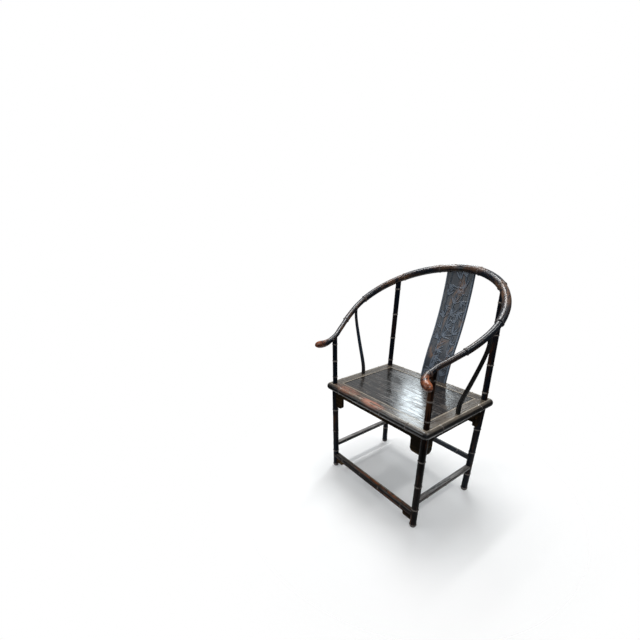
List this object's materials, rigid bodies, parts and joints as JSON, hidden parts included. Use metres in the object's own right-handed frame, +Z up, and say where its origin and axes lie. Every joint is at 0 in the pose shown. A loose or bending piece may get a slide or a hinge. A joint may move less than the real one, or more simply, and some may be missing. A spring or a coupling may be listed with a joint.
{
  "type": "horseshoe back armchair",
  "caption": "Horseshoe back armchair in dark lacquered wood, its round members carved like bamboo, with a curved carved splat, a framed seat panel and stretchers on every side.",
  "frame": {"origin": "on the floor, under the middle of the overall box", "axes": "+Z up, the sitter faces -Y, +X is the sitter's left"},
  "size_m": [0.6594, 0.5569, 0.945],
  "materials": {
    "lacquered_frame": "gloss lacquer, worn brown on edges",
    "carved_splat": "gloss lacquer with shallow carving",
    "seat_board": "gloss lacquer, rubbed through in places"
  },
  "bodies": {
    "root": {"crest_rail_back": "lacquered_frame", "crest_rail_shoulder_left": "lacquered_frame", "crest_rail_shoulder_right": "lacquered_frame", "crest_rail_arm_left": "lacquered_frame", "crest_rail_arm_right": "lacquered_frame", "front_leg_left": "lacquered_frame", "front_leg_right": "lacquered_frame", "rear_leg_left": "lacquered_frame", "rear_leg_right": "lacquered_frame", "side_support_left": "lacquered_frame", "side_support_right": "lacquered_frame", "seat_frame_front": "lacquered_frame", "seat_frame_rear": "lacquered_frame", "seat_frame_left": "lacquered_frame", "seat_frame_right": "lacquered_frame", "front_apron": "lacquered_frame", "rear_apron": "lacquered_frame", "left_apron": "lacquered_frame", "right_apron": "lacquered_frame", "footrest_stretcher": "lacquered_frame", "footrest_apron": "lacquered_frame", "side_stretcher_left": "lacquered_frame", "side_stretcher_right": "lacquered_frame", "rear_stretcher": "lacquered_frame", "back_splat": "carved_splat", "seat_panel": "seat_board", "seat_batten_left": "seat_board", "seat_batten_right": "seat_board", "rail_scarf_pins": "lacquered_frame"}
  },
  "joints": []
}
